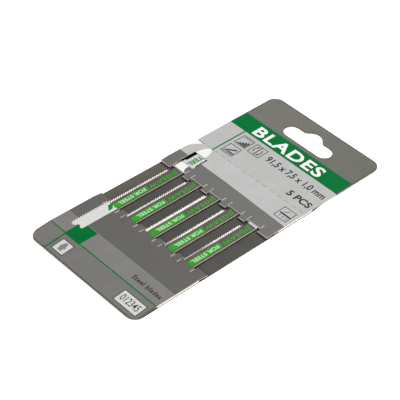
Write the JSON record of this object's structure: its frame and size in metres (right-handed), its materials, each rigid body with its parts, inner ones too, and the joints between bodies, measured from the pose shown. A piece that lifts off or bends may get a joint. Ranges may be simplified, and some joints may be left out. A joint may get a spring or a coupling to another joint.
{
  "type": "jigsaw blade pack",
  "caption": "Printed hang card holding a row of T-shank jigsaw blades in open pockets, with a tear-open flap over the shanks and a euro hang slot.",
  "frame": {"origin": "middle of the card's back face, on the surface that the pack lies on", "axes": "+X across the card, away from the blades' teeth; +Y along the card towards the hang slot; +Z out of the printed front"},
  "size_m": [0.076, 0.17, 0.002],
  "materials": {
    "printed_board": "printed, satin varnish",
    "spacer_board": "plain, matte",
    "glue": "translucent film",
    "blade_steel": "brown-grey, ground",
    "tooth_steel": "bright, milled"
  },
  "bodies": {
    "card": {"back_card": "printed_board", "header_panel": "printed_board", "lower_panel": "printed_board", "upper_spacer": "spacer_board", "lower_spacer": "spacer_board", "header_glue": "glue", "foot_glue": "glue", "upper_spacer_glue": "glue", "lower_spacer_glue": "glue"},
    "flap": {"opening_flap": "printed_board"},
    "blade_1": {"blade_1_body": "blade_steel", "blade_1_teeth": "tooth_steel"},
    "blade_2": {"blade_2_body": "blade_steel", "blade_2_teeth": "tooth_steel"},
    "blade_3": {"blade_3_body": "blade_steel", "blade_3_teeth": "tooth_steel"},
    "blade_4": {"blade_4_body": "blade_steel", "blade_4_teeth": "tooth_steel"},
    "blade_5": {"blade_5_body": "blade_steel", "blade_5_teeth": "tooth_steel"}
  },
  "joints": [
    {"name": "flap_hinge", "type": "hinge", "parent": "card", "child": "flap", "pos_m": [0, 0.027, 0.002], "axis": [-1, 0, 0], "range_deg": [0, 135]},
    {"name": "blade_1_slide", "type": "slide", "parent": "card", "child": "blade_1", "axis": [0, 1, 0], "range_m": [-0.0012, 0.0018]},
    {"name": "blade_2_slide", "type": "slide", "parent": "card", "child": "blade_2", "axis": [0, 1, 0], "range_m": [-0.00191, 0.0011]},
    {"name": "blade_3_slide", "type": "slide", "parent": "card", "child": "blade_3", "axis": [0, 1, 0], "range_m": [-0.0022, 0.0008]},
    {"name": "blade_4_slide", "type": "slide", "parent": "card", "child": "blade_4", "axis": [0, 1, 0], "range_m": [-0.0018, 0.0012]},
    {"name": "blade_5_slide", "type": "slide", "parent": "card", "child": "blade_5", "axis": [0, 1, 0], "range_m": [-0.0004, 0.0026]}
  ]
}
